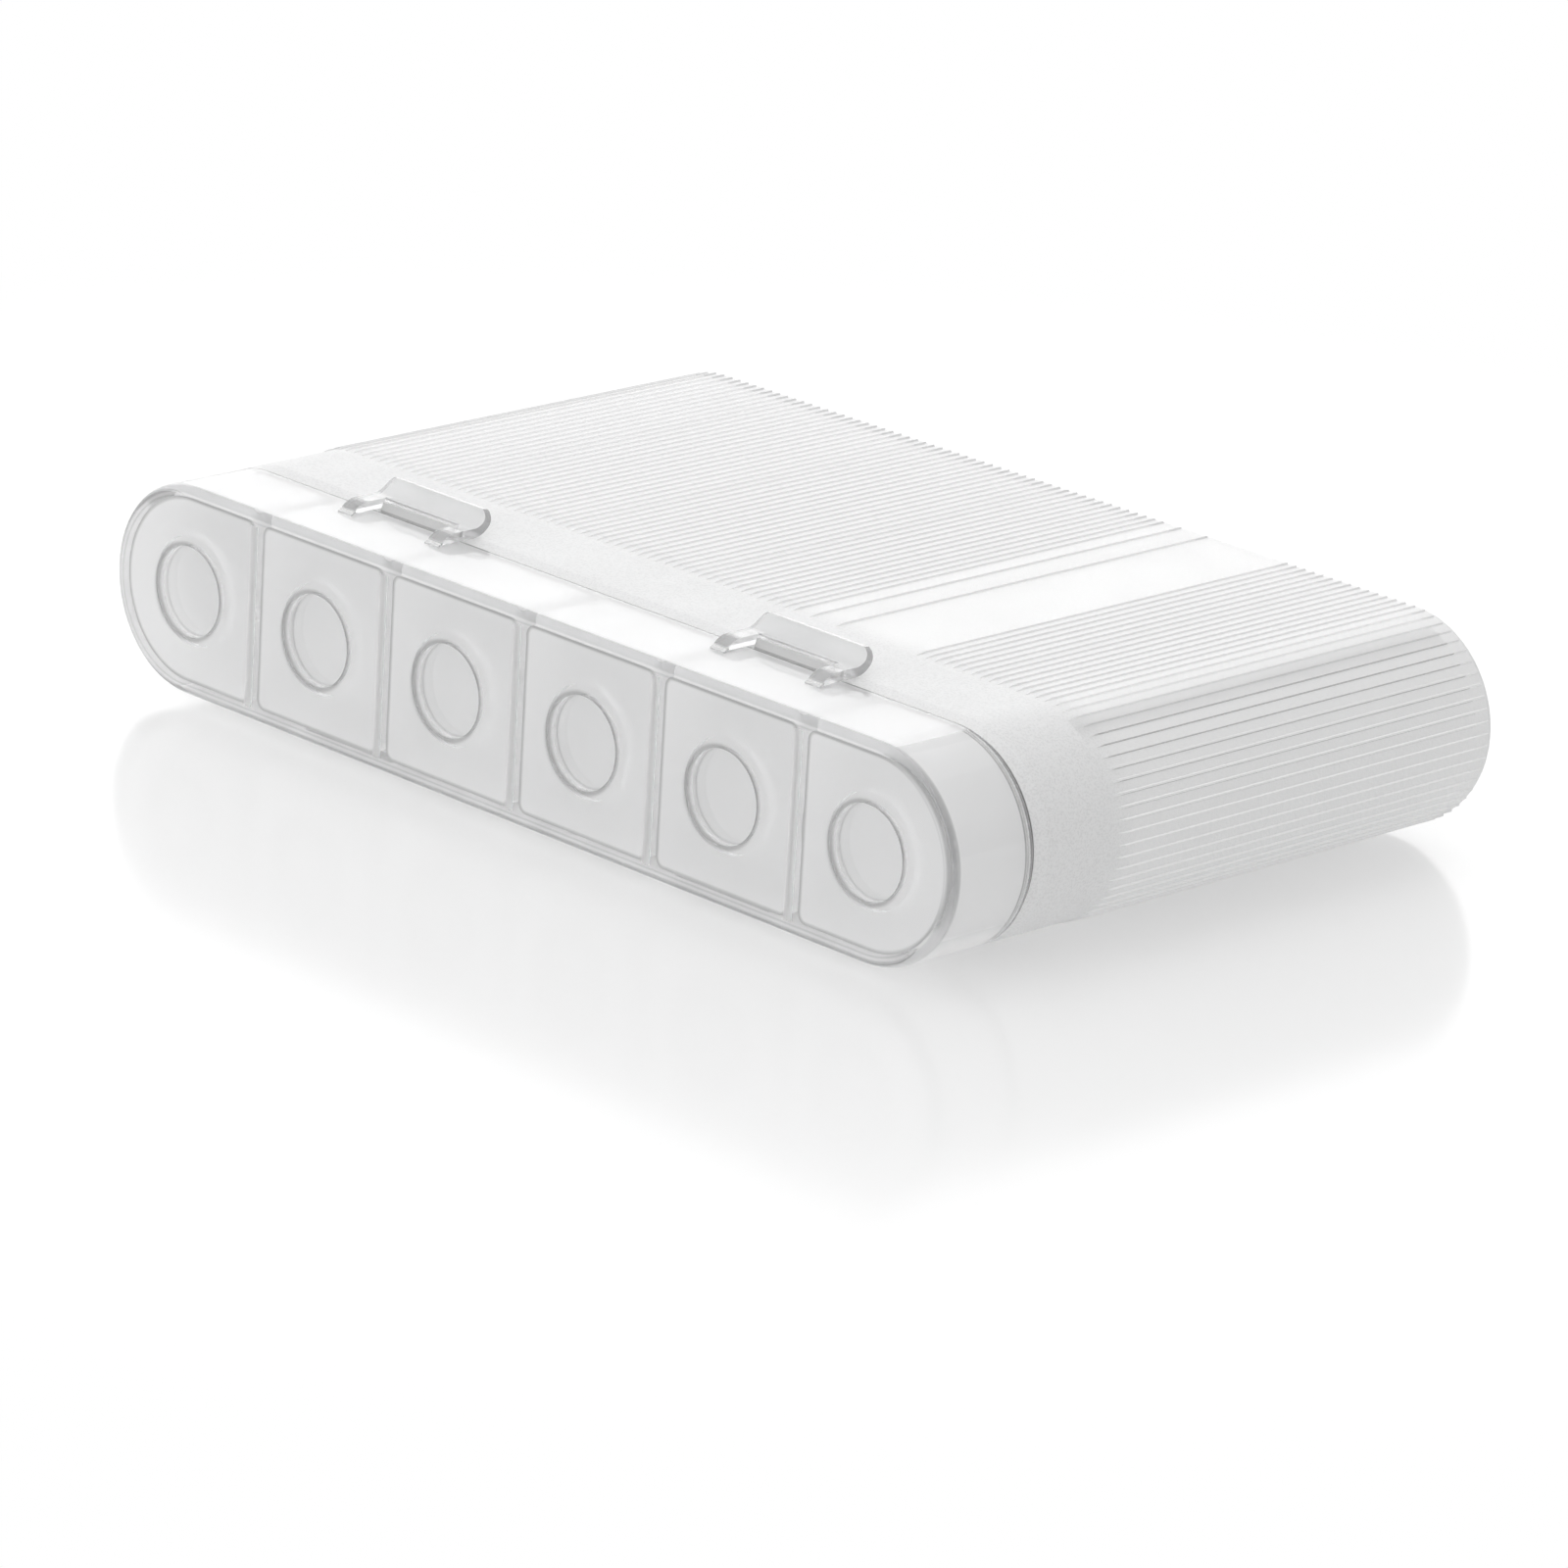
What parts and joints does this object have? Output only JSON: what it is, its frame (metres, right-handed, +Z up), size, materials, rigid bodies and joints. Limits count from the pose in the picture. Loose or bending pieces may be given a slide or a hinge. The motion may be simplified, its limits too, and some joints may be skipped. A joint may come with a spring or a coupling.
{
  "type": "battery storage case",
  "caption": "Flat round-ended pocket case for small round cells: ribbed translucent body with a bay for each cell, and a clear front cap that folds down and is held by snap flaps.",
  "frame": {"origin": "under the middle of the closed case, on the surface that it stands on", "axes": "+X along the row of bays, +Y along the cells from the cap to the closed rear wall, +Z up, so the cap is at the -Y end and the snap flaps are on top"},
  "size_m": [0.0742, 0.047, 0.0159],
  "materials": {
    "frosted_plastic": "milky translucent polypropylene, fine satin texture, ribbed for grip",
    "clear_plastic": "clear polypropylene, glossy"
  },
  "bodies": {
    "body": {"body": "frosted_plastic"},
    "cap": {"cap": "clear_plastic"},
    "flap_left": {"flap_left": "clear_plastic"},
    "flap_right": {"flap_right": "clear_plastic"}
  },
  "joints": [
    {"name": "cap_hinge", "type": "hinge", "parent": "body", "child": "cap", "pos_m": [0, -0.0169, 0], "axis": [1, 0, 0], "range_deg": [0, 150]},
    {"name": "flap_left_hinge", "type": "hinge", "parent": "cap", "child": "flap_left", "pos_m": [-0.0166, -0.01885, 0.01432], "axis": [1, 0, 0], "range_deg": [0, 90]},
    {"name": "flap_right_hinge", "type": "hinge", "parent": "cap", "child": "flap_right", "pos_m": [0.0166, -0.01885, 0.01432], "axis": [1, 0, 0], "range_deg": [0, 90]}
  ]
}
